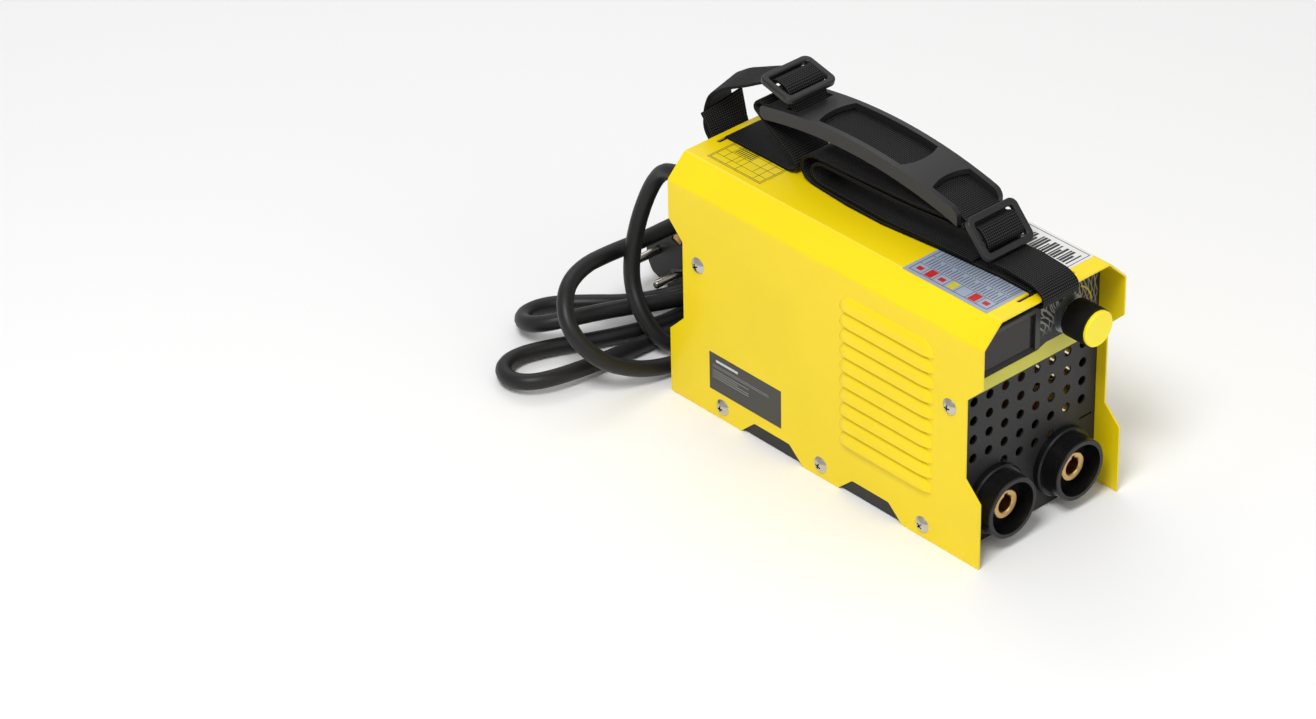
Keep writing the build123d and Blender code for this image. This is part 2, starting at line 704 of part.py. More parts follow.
def transformer_core():
    """Two ferrite E-halves as one closed core: outer legs, a middle leg and two yokes."""
    core = block(1, 41, -62, -34, 19, 85)
    for x0, x1 in ((6, 14), (28, 36)):
        core -= block(x0, x1, -63, -33, 27, 77)
    return core


def transformer_winding():
    """The taped winding round the core's middle leg, with its bobbin's flanges."""
    winding = block(6.2, 35.8, -69, -27, 30, 74)
    winding = fillet(winding.edges().filter_by(Axis.Z), 5)
    for z in (27.4, 74):
        winding += block(6.2, 35.8, -71, -25, z, z + 2.6)
    return winding - block(13.8, 28.2, -62.2, -33.8, 0, 99)


def transformer_feet():
    """Two plastic feet that hold the transformer's core on the board."""
    return group([block(1, 41, y - 4, y + 4, BOARD_TOP, 18.8) for y in (-56, -40)])


def choke_core():
    ring = Pos(-23, -52, 38) * Rot(90, 0, 0) * Cylinder(20, 14)
    return ring - rod_y(-23, 38, -70, -40, 11)


def choke_winding():
    """Separate turns of thick wire round the ring core."""
    turns = []
    count = 15
    for n in range(count):
        angle = 360 / (count + 2) * n - 60
        outer = block(8.6, 22.4, -9.4, 9.4, -1.1, 1.1)
        turn = outer - block(10.8, 20.2, -7.2, 7.2, -3, 3)
        turns.append(Pos(-23, -52, 38) * Rot(0, angle, 0) * turn)
    return group(turns)


def bridge_rectifier():
    body = block(-17, -1, -34, -29.5, BOARD_TOP + 4, BOARD_TOP + 20)
    for n in range(4):
        x = -15 + 4 * n
        body += block(x - 0.5, x + 0.5, -32.2, -31.2, BOARD_TOP, BOARD_TOP + 4)
    return body


def start_relay():
    return block(-38, -19, -40, -24.5, BOARD_TOP, BOARD_TOP + 15)


def control_board():
    """The upright board behind the display, with its chips."""
    solids = [block(-45.5, 14, -88.4, -86.8, 94, 125)]
    for x, z in ((-36, 100), (-18, 112), (2, 104)):
        solids.append(block(x - 5, x + 5, -86.8, -84.6, z - 3.5, z + 3.5))
    return group(solids)


# ---- strap ----

def pad_height(y, drop=0.0):
    """The height of the pad's top at y, or of the curve that runs drop below it."""
    radius = PAD_ARC - drop
    return PAD_TOP - PAD_ARC + math.sqrt(radius**2 - (y - PAD_MIDDLE) ** 2)


def arc_band(y0, y1, top_drop, bottom_drop, x0, x1):
    """A piece of the pad's arch between two depths under its top."""
    mid = (y0 + y1) / 2
    upper = [(x0, y, pad_height(y, top_drop)) for y in (y0, mid, y1)]
    lower = [(x0, y, pad_height(y, bottom_drop)) for y in (y1, mid, y0)]
    outline = ThreePointArc(*upper) + Line(upper[2], lower[0])
    outline += ThreePointArc(*lower) + Line(lower[2], upper[0])
    return extrude(make_face(outline), x1 - x0, dir=(1, 0, 0))


def bowed(plate, edge, outward):
    """A plate of the pad with the window's bowed end cut into its edge at y; outward is 1 or -1."""
    half = WEB_WIDE / 2 + 0.4
    radius = (half**2 + PAD_WINDOW_BOW**2) / (2 * PAD_WINDOW_BOW)
    centre = edge + outward * (PAD_WINDOW_BOW - radius)
    return plate - rod_z(0, centre, PAD_TOP - 40, PAD_TOP + 10, radius)


def strap_pad():
    """An arched plastic grip: two rails, a solid back part with a slot, and a bridge."""
    inner = WEB_WIDE / 2 + 0.4
    back = bowed(arc_band(40, PAD_BACK - 4, 0, PAD_PLATE, -PAD_HALF, PAD_HALF), 40, 1)
    back -= block(-inner, inner, *PAD_SLOT, PAD_TOP - 40, PAD_TOP + 10)
    bridge = arc_band(-40, -18, 0, PAD_PLATE, -PAD_HALF, PAD_HALF)
    pad = back + bowed(bowed(bridge, -18, -1), -40, 1)
    for side in (-1, 1):
        x0, x1 = sorted((side * PAD_HALF, side * inner))
        rail = arc_band(PAD_FRONT, PAD_BACK, 0, PAD_RAIL, x0, x1)
        ends = rail.edges().filter_by(Axis.X).sort_by(Axis.Y)
        rail = fillet(ends[:2].sort_by(Axis.Z)[-1], 5.5)
        ends = rail.edges().filter_by(Axis.X).sort_by(Axis.Y)
        pad += fillet(ends[-2:], 3.2)
    return pad


def buckle():
    """A tri-glide: a rounded frame with a round middle bar, flat on XY, long side along X."""
    frame = Box(BUCKLE_WIDE, BUCKLE_LONG, BUCKLE_THICK)
    frame = fillet(frame.edges().filter_by(Axis.Z), 4.5)
    window = Box(BUCKLE_WIDE - 2 * BUCKLE_BAR, BUCKLE_LONG - 2 * BUCKLE_BAR, 9)
    frame -= fillet(window.edges().filter_by(Axis.Z), 1.5)
    faces = frame.faces().sort_by(Axis.Z)
    frame = fillet(faces[-1].edges() + faces[0].edges(), 1.0)
    return frame + rod_x(0, 0, -BUCKLE_WIDE / 2 + 2, BUCKLE_WIDE / 2 - 2, 1.5)


BUCKLE_BACK = Pos(0, 68.5, 184.2) * Rot(13, 0, 0)
BUCKLE_FRONT = Pos(0.4, -73.0, 158.0) * Rot(47, 0, 0)


def buckle_path(place):
    """The webbing's (y, z) points over a buckle's middle bar, from its front to its back."""
    local = [(-11.0, -3.9), (-7.0, -3.6), (-5.0, 2.5), (5.0, 2.5), (7.0, -3.6), (11.0, -3.9)]
    points = [(place * Pos(0, y, z)).position for y, z in local]
    return [(p.Y, p.Z) for p in points]


def inside_pad(y):
    """A point of the webbing's middle in the channel under the pad."""
    return (y, pad_height(y, 3.3 + WEB_THICK / 2))


def strap_line():
    """The long webbing's middle line from its back end to its front end: (y, z, greatest radius)."""
    top = HEIGHT + 0.3 + WEB_THICK / 2
    back = [(*p, 9) for p in buckle_path(BUCKLE_BACK)][:0:-1]
    front = [(*p, 9) for p in buckle_path(BUCKLE_FRONT)][::-1]
    line = [(108, 132.7, 0), (119, 132.7, 9), (126, 139, 12), (127.3, 150, 12), (124.5, 159, 14)]
    line += [(113, 167, 40), (96, 175, 40)]
    line += back
    line += [(*inside_pad(58.5), 9), (*inside_pad(26), 300), (*inside_pad(-10), 300)]
    line += [(*inside_pad(-50), 300)]
    line += front
    line += [(-90, 147.2, 20), (-108, 145.2, 20), (-114, 141.5, 9), (-113.6, 135.4, 9)]
    line += [(SLOT_FRONT_Y, 134.8, 9), (SLOT_FRONT_Y, top, 1.8)]
    line += [(42.3, top, 9), (50, 144, 9), (50, 153.5, 9), (42.3, 157, 9)]
    line += [(-30, 160.4, 99), (-60, 161.6, 9), (-62.6, 158.4, 2), (-56, 157.6, 9), (-20, 156.6, 99)]
    line += [(36, 154.7, 9), (42.4, 152.2, 9), (43.5, 146.2, 9), (38, 143.3, 9), (-68, 143.3, 0)]
    return line


def loop_line():
    """The short webbing's middle line: from under the pad, down through the back slot, to its cut tail."""
    top = HEIGHT + 0.3 + WEB_THICK / 2
    line = [(50, 170.1, 0), (77.5, 167.6, 4), (84.5, 171, 9), (88.5, 166, 9), (79.5, 161.2, 9), (59, 150, 9)]
    line += [(53.6, 145.6, 9), (58.5, top, 9), (SLOT_BACK_Y, top, 1.8), (SLOT_BACK_Y, 135, 4)]
    line += [(114.5, 134.6, 9), (117.5, 141, 12), (122, 152, 0)]
    return line


def webbing(line):
    points = [(0, y, z) for y, z, r in line]
    allowed = bend_radii(points)
    radii = [min(r, limit) for r, (y, z, limit) in zip(allowed, line[1:-1])]
    path = FilletPolyline(points, radius=radii)
    start = Plane(origin=points[0], x_dir=(1, 0, 0), z_dir=Vector(points[1]) - Vector(points[0]))
    return sweep(start * Rectangle(WEB_WIDE, WEB_THICK), path=path)


def strap_webbing():
    """The carry strap's webbing: the long piece and the short piece that is sewn to its back end."""
    return group([webbing(strap_line()), webbing(loop_line())])


# ---- mains lead ----

# The lead's route from the strain relief to the plug: over the plug and back as an upright
# loop, then two flat loops of a loosely tied hank.
ROUTE = [
    (-17, 127, 106),
    (-17, 144, 106),
    (-14, 160, 97),
    (-19, 167, 77),
    (-27, 166.5, 57),
    (-33, 162.5, 38),
    (-37, 150, 23),
    (-31, 137, 6.5),
    (-10, 130, 5),
    (20, 129, 5),
    (44, 128.5, 8),
    (62, 130, 18),
    (78, 140, 34),
    (72, 158, 47),
    (46, 171, 51),
    (14, 177.5, 46.5),
    (-12, 177.5, 46.5),
    (-36, 175.5, 50),
    (-62, 168, 56),
    (-83, 158, 55),
    (-93, 145, 42),
    (-85, 132, 25),
    (-63, 126.5, 11),
    (-36, 122.5, 5),
    (10, 119, 5),
    (58, 118, 5),
    (104, 119, 5),
    (134, 124, 5),
    (153, 142, 5),
    (155, 166, 5),
    (138, 184, 5),
    (112, 185, 5),
    (84, 174, 5),
    (56, 161, 5),
    (22, 156.5, 6.6),
    (-15, 156.5, 5),
    (-47, 168, 5),
    (-72, 181, 5),
    (-93, 188, 5),
    (-107, 183, 5.5),
    (-112, 170, 6.5),
    (-106, 158, 8),
    (-89, 152.5, 8),
    (-63, 151, 6),
    (-36, 150, 5),
    (-4, 147, 5),
    (28, 146.5, 6),
    (60, 140, 10),
    (92, 128, 15),
    (118, 127, 17),
    (137, 142, 17),
    (140, 166, 17),
    (122, 183, 16),
    (94, 181, 16),
    (56, 161, 15.5),
    (24, 158.5, 16.2),
    (3, 163, 14),
    (-15, 182, 7),
    (-32, 203, 5),
    (-47, 215, 5),
    (-62, 216, 6),
    (-73, 206, 9),
    (-74, 192, 14),
    (-61, 180, 18),
    (-38, 171, 18),
    (-8, 155.5, 17.5),
    (26, 147.5, 16),
    (58, 147, 20),
    (98, 138, 26),
    (132, 134, 28),
    (156, 147, 27),
    (164, 170, 24),
    (154, 192, 19),
    (132, 202, 16),
    (111, 190, 18.5),
    (92, 184, 20),
    (74, 184, 20),
]


def mains_cord():
    radii = bend_radii(ROUTE)
    print("bend radii", [round(r) for r in radii])
    path = FilletPolyline(ROUTE, radius=radii)
    start = Plane(origin=ROUTE[0], z_dir=Vector(ROUTE[1]) - Vector(ROUTE[0]))
    cord = sweep(start * Circle(CORD_R), path=path)
    share = cord.volume / (math.pi * CORD_R**2 * path.length)
    print("length", round(path.length, 1), "volume share", share)
    return cord


def on_plug(solid):
    """Turns and moves a solid that was made round the X axis onto the plug."""
    return Pos(PLUG_FACE, PLUG_Y, PLUG_Z) * Rot(PLUG_ROLL, 0, 0) * solid


def plug_body():
    """A moulded plug: a round face with two flats, a neck and a ribbed sleeve for the lead."""
    face = rod_x(0, 0, 0, 17, PLUG_R)
    flat = block(-1, 18, -PLUG_R, PLUG_R, 16.4, 19)
    face -= flat + mirror(flat, Plane.XY)
    neck = Pos(27, 0, 0) * Rot(0, 90, 0) * Cone(PLUG_R - 2.5, 9, 20)
    sleeve = Pos(48.5, 0, 0) * Rot(0, 90, 0) * Cone(7.4, 5.6, 23)
    body = face + neck + sleeve
    for n in range(4):
        x0 = 41 + 4.4 * n
        body -= rod_x(0, 0, x0, x0 + 1.4, 9) - rod_x(0, 0, x0, x0 + 1.4, 5.2)
    for side in (-1, 1):
        body -= block(-1, 12, -3.2, 3.2, *sorted((side * 14.6, side * 19)))
        body -= rod_x(9.5 * side, 0, -1, 6, 2.4)
    return on_plug(body)


def plug_pins():
    pins = []
    for side in (-1, 1):
        pin = rod_x(9.5 * side, 0, -19, 6, 2.4)
        pins.append(on_plug(fillet(pin.faces().sort_by(Axis.X)[0].edges(), 1.2)))
    return group(pins)


def plug_earth_clips():
    clips = []
    for side in (-1, 1):
        clip = block(0.6, 12, -3.1, 3.1, *sorted((side * 14.6, side * 15.8)))
        clip += block(0.6, 3, -3.1, 3.1, *sorted((side * 14.6, side * 17)))
        clips.append(on_plug(clip))
    return group(clips)


def cable_tie():
    """A thin band round four strands of the hank, with its head and a loose tail."""
    x, y, z = 24.0, 152.7, 11.2
    half_y, half_z = 12.4, 10.9
    band = 0.9
    outer = Box(3.6, 2 * half_y, 2 * half_z)
    outer = fillet(outer.edges().filter_by(Axis.X), 5)
    inner = Box(4, 2 * (half_y - band), 2 * (half_z - band))
    inner = fillet(inner.edges().filter_by(Axis.X), 5 - band)
    tie = Pos(x, y, z) * (outer - inner)
    tie += block(x - 2.6, x + 2.6, y - 4, y + 2, z + half_z - 0.4, z + half_z + 3.6)
    tail = Plane(origin=(x, y - 1, z + half_z + 1.6), x_dir=(6, 32, 0), z_dir=(-32, 6, 11))
    return tie + tail * Pos(0, 0, 17) * Box(3.4, 1.1, 34)


# ---- nodes ----

def write(name, shape):
    export_step(shape, f"parts/{name}.step")


def main():
    os.makedirs("parts", exist_ok=True)
    parts = {
        "case_cover": case_cover(),
        "chassis": chassis(),
        "cover_screws": cover_screws(),
        "overlay_stripe": overlay_stripe(),
        "overlay_field": overlay_field(),
        "display_bezel": display_bezel(),
        "display_window": display_window(),
        "display_module": display_module(),
        "knob_body": knob_body(),
        "knob_cap": knob_cap(),
        "dial_plate": dial_plate(),
        "potentiometer_shaft": potentiometer_shaft(),
        "potentiometer_body": potentiometer_body(),
        "potentiometer_nut": potentiometer_nut(),
        "socket_collar_negative": socket_collar(-SOCKET_X),
        "socket_collar_positive": socket_collar(SOCKET_X),
        "socket_contact_negative": socket_contact(-SOCKET_X),
        "socket_contact_positive": socket_contact(SOCKET_X),
        "socket_nuts": socket_nuts(),
        "busbars": busbars(),
        "fan_frame": fan_frame(),
        "fan_rotor": fan_rotor(),
        "fan_guard": fan_guard(),
        "fan_screws": fan_screws(),
        "switch_housing": switch_housing(),
        "switch_rocker": switch_rocker(),
        "earth_stud": earth_stud(),
        "earth_nuts": earth_nuts(),
        "cable_gland": cable_gland(),
        "gland_nut": gland_nut(),
        "strain_relief": strain_relief(),
        "main_board": main_board(),
        "board_standoffs": board_standoffs(),
        "board_screws": board_screws(),
        "heatsink_left": heatsink(-1),
        "heatsink_right": heatsink(1),
        "power_transistors": power_packages(-1),
        "output_diodes": power_packages(1),
        "bus_capacitors": bus_capacitors(),
        "transformer_core": transformer_core(),
        "transformer_winding": transformer_winding(),
        "transformer_feet": transformer_feet(),
        "choke_core": choke_core(),
        "choke_winding": choke_winding(),
        "bridge_rectifier": bridge_rectifier(),
        "start_relay": start_relay(),
        "control_board": control_board(),
        "strap_pad": strap_pad(),
        "strap_webbing": strap_webbing(),
        "strap_buckle_back": BUCKLE_BACK * buckle(),
        "strap_buckle_front": BUCKLE_FRONT * buckle(),
        "mains_cord": mains_cord(),
        "cable_tie": cable_tie(),
        "plug_body": plug_body(),
        "plug_pins": plug_pins(),
        "plug_earth_clips": plug_earth_clips(),
    }
    parts.update(case_labels())
    for name, shape in parts.items():
        write(name, shape)


main()
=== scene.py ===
"""Looks of the stick welding inverter: its materials, labels, webbing and mains lead.

Metres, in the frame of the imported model: X to the machine's right, Y to its back, Z up.
"""
import math
import bpy
from mathutils import Matrix, Vector


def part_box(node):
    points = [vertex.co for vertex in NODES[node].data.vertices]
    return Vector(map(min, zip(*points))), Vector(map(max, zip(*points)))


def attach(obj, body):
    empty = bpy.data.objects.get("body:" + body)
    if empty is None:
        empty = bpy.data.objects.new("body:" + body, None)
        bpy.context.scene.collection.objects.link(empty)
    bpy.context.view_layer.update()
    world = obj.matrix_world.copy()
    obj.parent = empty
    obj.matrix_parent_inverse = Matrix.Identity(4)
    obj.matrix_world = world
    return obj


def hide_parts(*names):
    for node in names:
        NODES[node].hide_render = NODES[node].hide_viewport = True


MM = 0.001
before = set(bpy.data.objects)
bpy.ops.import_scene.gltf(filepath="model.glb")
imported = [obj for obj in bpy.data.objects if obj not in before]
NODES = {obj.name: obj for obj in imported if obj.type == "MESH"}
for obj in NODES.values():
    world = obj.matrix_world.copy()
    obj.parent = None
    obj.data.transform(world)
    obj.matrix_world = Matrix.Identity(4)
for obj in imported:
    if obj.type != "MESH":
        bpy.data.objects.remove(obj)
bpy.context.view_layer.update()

# ---- camera, lights and floor ----

CAMERA_PLACE = (-1.4200, -1.4263, 1.3482)
CAMERA_AZIMUTH = -41.49
CAMERA_ELEVATION = 32.83
CAMERA_ROLL = -1.22
CAMERA_LENS = 128.62
CAMERA_SENSOR = 36.0

WORLD_STRENGTH = 0.52
# name, place, size, power; every light faces LIT_POINT
LIGHTS = [
    ("key", (-0.95, -0.45, 1.7), (0.6, 0.6), 23),
    ("fill", (0.2, -1.6, 0.9), (1.2, 0.8), 4),
    ("back", (0.6, 1.2, 1.5), (1.4, 0.6), 5),
]
LIT_POINT = (0, 0.03, 0.07)
FLOOR_SIZE = 30
FLOOR_DROP = 0.0002
FLOOR_COLOUR = (0.90, 0.90, 0.90)


def make_camera():
    data = bpy.data.cameras.new("camera")
    data.lens = CAMERA_LENS
    data.sensor_width = CAMERA_SENSOR
    camera = bpy.data.objects.new("camera", data)
    turn = Matrix.Rotation(math.radians(CAMERA_AZIMUTH), 4, "Z")
    tilt = Matrix.Rotation(math.radians(90 - CAMERA_ELEVATION), 4, "X")
    roll = Matrix.Rotation(math.radians(CAMERA_ROLL), 4, "Z")
    camera.matrix_world = Matrix.Translation(CAMERA_PLACE) @ turn @ tilt @ roll
    bpy.context.scene.collection.objects.link(camera)
    bpy.context.scene.camera = camera


def area_light(name, place, size, power):
    data = bpy.data.lights.new(name, "AREA")
    data.shape = "RECTANGLE"
    data.size, data.size_y = size
    data.energy = power
    light = bpy.data.objects.new(name, data)
    light.location = place
    light.rotation_euler = (Vector(LIT_POINT) - Vector(place)).to_track_quat("-Z", "Y").to_euler()
    bpy.context.scene.collection.objects.link(light)


def make_studio():
    world = bpy.data.worlds.new("studio")
    world.use_nodes = True
    background = world.node_tree.nodes["Background"]
    background.inputs["Color"].default_value = (1.0, 1.0, 1.0, 1)
    background.inputs["Strength"].default_value = WORLD_STRENGTH
    bpy.context.scene.world = world
    bpy.context.scene.view_settings.view_transform = "Standard"
    for light in LIGHTS:
        area_light(*light)


def make_floor():
    bpy.ops.mesh.primitive_plane_add(size=FLOOR_SIZE, location=(0, 0, -FLOOR_DROP))
    floor = bpy.context.object
    floor.name = "floor"
    floor.data.materials.append(plain("floor", FLOOR_COLOUR, 0.8))


# ---- materials ----

def plain(name, colour, roughness, metallic=0.0, **sockets):
    """A Principled material; colours, numbers and other sockets are set on the shader itself."""
    material = bpy.data.materials.new(name)
    material.use_nodes = True
    shader = material.node_tree.nodes["Principled BSDF"]
    shader.inputs["Base Color"].default_value = (*colour, 1)
    shader.inputs["Roughness"].default_value = roughness
    shader.inputs["Metallic"].default_value = metallic
    for socket, value in sockets.items():
        shader.inputs[socket.replace("_", " ")].default_value = value
    return material


def add_node(material, kind, **values):
    """A new node; values set its properties, or its inputs where it has no such property."""
    node = material.node_tree.nodes.new(kind)
    for key, value in values.items():
        if hasattr(node, key):
            setattr(node, key, value)
        else:
            node.inputs[key.replace("_", " ")].default_value = value
    return node


def link(material, source, source_socket, target, target_socket):
    tree = material.node_tree
    tree.links.new(source.outputs[source_socket], target.inputs[target_socket])


def object_place(material):
    return add_node(material, "ShaderNodeTexCoord"), "Object"


def add_bump(material, height, strength, distance):
    """Bump from a (node, socket) height."""
    shader = material.node_tree.nodes["Principled BSDF"]
    bump = add_node(material, "ShaderNodeBump", Strength=strength, Distance=distance)
    link(material, *height, bump, "Height")
    link(material, bump, "Normal", shader, "Normal")


def noise(material, scale, detail=3.0):
    place = object_place(material)
    node = add_node(material, "ShaderNodeTexNoise", Scale=scale, Detail=detail)
    link(material, *place, node, "Vector")
    return node


def ramp(material, source, source_socket, stops):
    """A colour ramp over a (position, colour) list."""
    node = add_node(material, "ShaderNodeValToRGB")
    elements = node.color_ramp.elements
    while len(elements) < len(stops):
        elements.new(0.5)
    for element, (position, colour) in zip(elements, stops):
        element.position = position
        element.color = (*colour, 1)
    link(material, source, source_socket, node, "Fac")
    return node


def patch_tones(material, patches, low, high):
    """Colours from low to high over the middle of a noise's range."""
    return ramp(material, patches, "Fac", [(0.3, low), (0.7, high)])


def shade(colour, share):
    return tuple(min(1.0, c * share) for c in colour)


def surface(name, colour, roughness, metallic=0.0, vary=0.12, patch=40.0, grain=900.0, bump=0.15,
            depth=0.00005, rough_vary=0.08, **sockets):
    """A material whose colour and roughness drift in soft patches, under a fine grain."""
    material = plain(name, colour, roughness, metallic, **sockets)
    shader = material.node_tree.nodes["Principled BSDF"]
    patches = noise(material, patch)
    tones = patch_tones(material, patches, shade(colour, 1 - vary), shade(colour, 1 + vary))
    link(material, tones, "Color", shader, "Base Color")
    low, high = roughness - rough_vary, roughness + rough_vary
    spread = add_node(material, "ShaderNodeMapRange", To_Min=low, To_Max=high)
    link(material, patches, "Fac", spread, "Value")
    link(material, spread, "Result", shader, "Roughness")
    fine = noise(material, grain, detail=2.0)
    add_bump(material, (fine, "Fac"), bump, depth)
    return material


def powder_coat(name, colour):
    """Sprayed powder coat: a very slight orange peel under a soft gloss."""
    return surface(name, colour, 0.34, vary=0.03, patch=14, grain=420, bump=0.10, depth=0.0001,
                   rough_vary=0.04, Specular_IOR_Level=0.3, Coat_Weight=0.12, Coat_Roughness=0.08)


def ring_lines(material, centre, scale, bend):
    """Thin bent rings round a line through centre, along Y: 1 on a line and 0 between."""
    place = object_place(material)
    shift = add_node(material, "ShaderNodeVectorMath", operation="SUBTRACT")
    shift.inputs[1].default_value = centre
    link(material, *place, shift, 0)
    sway = noise(material, 70, detail=0.0)
    mix = add_node(material, "ShaderNodeVectorMath", operation="MULTIPLY_ADD")
    mix.inputs[1].default_value = (bend, bend, bend)
    link(material, sway, "Color", mix, 0)
    link(material, shift, "Vector", mix, 2)
    rings = add_node(material, "ShaderNodeTexWave", wave_type="RINGS", rings_direction="Y", Scale=scale)
    link(material, mix, "Vector", rings, "Vector")
    line = add_node(material, "ShaderNodeMapRange", From_Min=0.80, From_Max=0.93)
    link(material, rings, "Fac", line, "Value")
    return line


def decorated_field(name):
    """A black film printed with two sets of fine grey rings that fade out towards the stripe."""
    film, grey = (0.012, 0.012, 0.013), (0.26, 0.25, 0.22)
    material = plain(name, film, 0.4, Specular_IOR_Level=0.3)
    shader = material.node_tree.nodes["Principled BSDF"]
    first = ring_lines(material, centre=(0.032, 0, 0.128), scale=115.0, bend=0.010)
    second = ring_lines(material, centre=(0.006, 0, 0.112), scale=95.0, bend=0.012)
    both = add_node(material, "ShaderNodeMath", operation="MAXIMUM")
    link(material, first, "Result", both, 0)
    link(material, second, "Result", both, 1)
    place = object_place(material)
    parts = add_node(material, "ShaderNodeSeparateXYZ")
    link(material, *place, parts, "Vector")
    fade = add_node(material, "ShaderNodeMapRange", From_Min=0.103, From_Max=0.109)
    link(material, parts, "Z", fade, "Value")
    faded = add_node(material, "ShaderNodeMath", operation="MULTIPLY")
    link(material, both, "Value", faded, 0)
    link(material, fade, "Result", faded, 1)
    lines = ramp(material, faded, "Value", [(0.0, film), (1.0, grey)])
    link(material, lines, "Color", shader, "Base Color")
    return material


# A Mix node names the sockets of all its data types alike, so its colour sockets go by number.
MIX_FACTOR = 0
MIX_FIRST = 6
MIX_SECOND = 7
MIX_COLOUR = 2


def metal_with_painted_recess_shade(name, colour, roughness):
    """A metal with painted shade: ambient occlusion darkens its colour in recesses, such as the driver's
    cross in a screw head.
    """
    material = surface(name, colour, roughness, 1.0, vary=0.06, grain=700, bump=0.08)
    shader = material.node_tree.nodes["Principled BSDF"]
    # Painted shade: within 2.5 mm of other surfaces the base colour is multiplied towards near black.
    crevice = add_node(material, "ShaderNodeAmbientOcclusion", Distance=0.0025)
    crevice.samples = 8
    tone = shader.inputs["Base Color"].links[0].from_node
    dark = ramp(material, crevice, "AO", [(0.5, (0.01, 0.01, 0.01)), (0.85, (1, 1, 1))])
    mixed = add_node(material, "ShaderNodeMix", data_type="RGBA", blend_type="MULTIPLY")
    mixed.inputs[MIX_FACTOR].default_value = 1.0
    material.node_tree.links.new(tone.outputs["Color"], mixed.inputs[MIX_FIRST])
    material.node_tree.links.new(dark.outputs["Color"], mixed.inputs[MIX_SECOND])
    material.node_tree.links.new(mixed.outputs[MIX_COLOUR], shader.inputs["Base Color"])
    return material


def webbing_material(name):
    """Black woven webbing: the mesh has the cross ribs, and this adds the yarns along it."""
    material = plain(name, (0.006, 0.006, 0.006), 0.55, Specular_IOR_Level=0.14)
    shader = material.node_tree.nodes["Principled BSDF"]
    place = add_node(material, "ShaderNodeUVMap", uv_map="UVMap")
    across = add_node(material, "ShaderNodeTexWave", bands_direction="X", Scale=252.0, Distortion=0.4,
                      Detail=1.0)
    along = add_node(material, "ShaderNodeTexWave", bands_direction="Y", Scale=245.0, Distortion=1.2,
                     Detail=1.0)
    for wave in (across, along):
        link(material, place, "UV", wave, "Vector")
    weave = add_node(material, "ShaderNodeMath", operation="MULTIPLY")
    link(material, across, "Fac", weave, 0)
    link(material, along, "Fac", weave, 1)
    tones = ramp(material, weave, "Value", [(0.1, (0.0012, 0.0012, 0.0012)), (0.85, (0.05, 0.05, 0.05))])
    link(material, tones, "Color", shader, "Base Color")
    add_bump(material, (weave, "Value"), 0.7, 0.0003)
    return material


def display_lens(name):
    """Dark smooth plastic with a faint warm drift in its tint."""
    material = plain(name, (0.020, 0.016, 0.015), 0.18, Specular_IOR_Level=0.3)
    tones = patch_tones(material, noise(material, 30), (0.017, 0.013, 0.012), (0.023, 0.018, 0.017))
    link(material, tones, "Color", material.node_tree.nodes["Principled BSDF"], "Base Color")
    return material


def ink(name, colour):
    """Printing ink, slightly uneven in tone."""
    return surface(name, colour, 0.45, vary=0.1, patch=400, grain=2500, bump=0.05)


